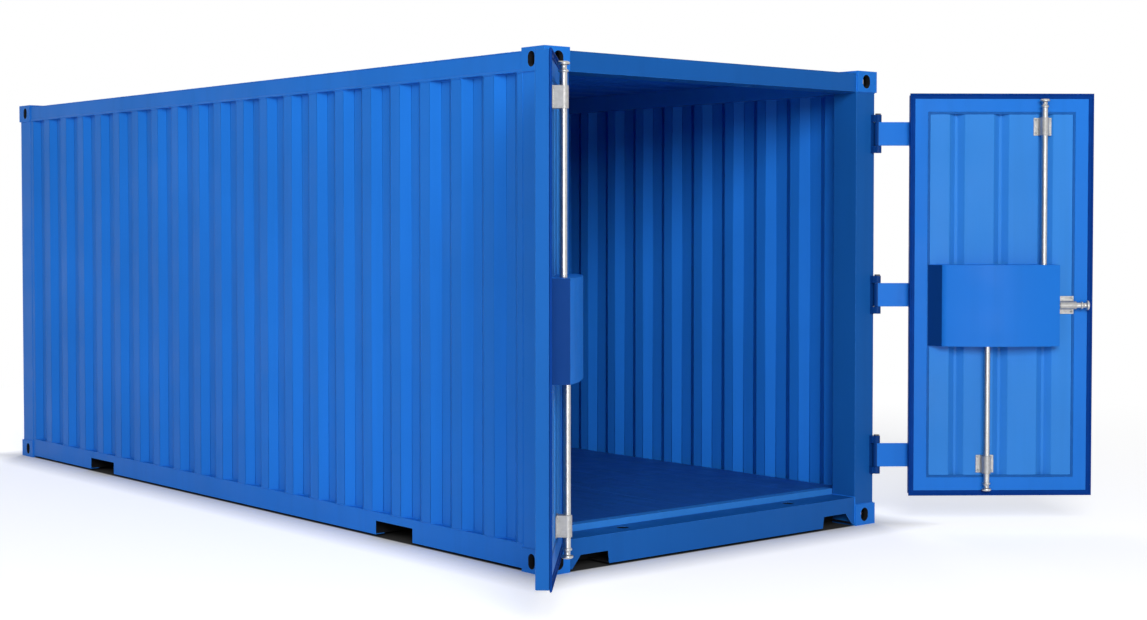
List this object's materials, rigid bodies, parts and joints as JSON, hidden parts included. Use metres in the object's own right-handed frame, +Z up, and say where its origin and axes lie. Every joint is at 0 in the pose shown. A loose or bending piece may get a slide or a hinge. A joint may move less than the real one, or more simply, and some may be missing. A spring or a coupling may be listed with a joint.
{
  "type": "shipping container",
  "caption": "Corrugated steel shipping container with corner castings, fork pockets and hinged end doors that carry sliding three-way lock bolts.",
  "frame": {"origin": "centre of the plane under the bottom corner castings", "axes": "+X out of the door end, +Y to the right seen from outside the doors, +Z up"},
  "size_m": [7.017, 4.1468, 2.565],
  "materials": {
    "blue_paint": "satin blue paint over steel",
    "galvanised_steel": "bright galvanised steel",
    "rubber_seal": "matt dark rubber",
    "painted_floor": "painted boards"
  },
  "bodies": {
    "container": {"bottom_castings": "blue_paint", "cross_members": "blue_paint", "door_header": "blue_paint", "door_sill": "blue_paint", "end_bottom_beam": "blue_paint", "end_top_beam": "blue_paint", "end_wall": "blue_paint", "floor_deck": "painted_floor", "fork_pocket_closed_end": "blue_paint", "fork_pocket_door_end": "blue_paint", "left_bottom_rail": "blue_paint", "left_door_post": "blue_paint", "left_end_post": "blue_paint", "left_hinge_lugs": "blue_paint", "left_hinge_pins": "galvanised_steel", "left_side_wall": "blue_paint", "left_top_rail": "blue_paint", "right_bottom_rail": "blue_paint", "right_door_post": "blue_paint", "right_end_post": "blue_paint", "right_hinge_lugs": "blue_paint", "right_hinge_pins": "galvanised_steel", "right_side_wall": "blue_paint", "right_top_rail": "blue_paint", "roof_end_plates": "blue_paint", "roof_panel": "blue_paint", "threshold_plate": "blue_paint", "top_castings": "blue_paint"},
    "left_door": {"left_door_frame": "blue_paint", "left_door_panel": "blue_paint", "left_door_seal": "rubber_seal", "left_hinge_straps": "blue_paint", "left_lock_hood": "blue_paint", "left_bolt_guides": "galvanised_steel"},
    "right_door": {"right_door_frame": "blue_paint", "right_door_panel": "blue_paint", "right_door_seal": "rubber_seal", "right_hinge_straps": "blue_paint", "right_lock_hood": "blue_paint", "right_bolt_guides": "galvanised_steel"},
    "left_top_bolt": {"left_top_bolt": "galvanised_steel"},
    "left_bottom_bolt": {"left_bottom_bolt": "galvanised_steel"},
    "right_top_bolt": {"right_top_bolt": "galvanised_steel"},
    "right_bottom_bolt": {"right_bottom_bolt": "galvanised_steel"},
    "right_side_bolt": {"right_side_bolt": "galvanised_steel"}
  },
  "joints": [
    {"name": "left_door_hinge", "type": "hinge", "parent": "container", "child": "left_door", "pos_m": [3.044, -1.213, 1.304], "axis": [0, 0, -1], "range_deg": [-133, 137]},
    {"name": "right_door_hinge", "type": "hinge", "parent": "container", "child": "right_door", "pos_m": [3.044, 1.213, 1.304], "axis": [0, 0, 1], "range_deg": [-141, 129]},
    {"name": "left_top_bolt_slide", "type": "slide", "parent": "left_door", "child": "left_top_bolt", "axis": [0, 0, 1], "range_m": [0, 0.075]},
    {"name": "left_bottom_bolt_slide", "type": "slide", "parent": "left_door", "child": "left_bottom_bolt", "axis": [0, 0, -1], "range_m": [0, 0.075]},
    {"name": "right_top_bolt_slide", "type": "slide", "parent": "right_door", "child": "right_top_bolt", "axis": [0, 0, 1], "range_m": [0, 0.075]},
    {"name": "right_bottom_bolt_slide", "type": "slide", "parent": "right_door", "child": "right_bottom_bolt", "axis": [0, 0, -1], "range_m": [0, 0.075]},
    {"name": "right_side_bolt_slide", "type": "slide", "parent": "right_door", "child": "right_side_bolt", "axis": [0.6293, 0.7771, 0], "range_m": [0, 0.075]}
  ],
  "couplings": [
    {"joint": "left_bottom_bolt_slide", "follows": "left_top_bolt_slide", "ratio": 1},
    {"joint": "right_bottom_bolt_slide", "follows": "right_top_bolt_slide", "ratio": 1},
    {"joint": "right_side_bolt_slide", "follows": "right_top_bolt_slide", "ratio": 1}
  ]
}
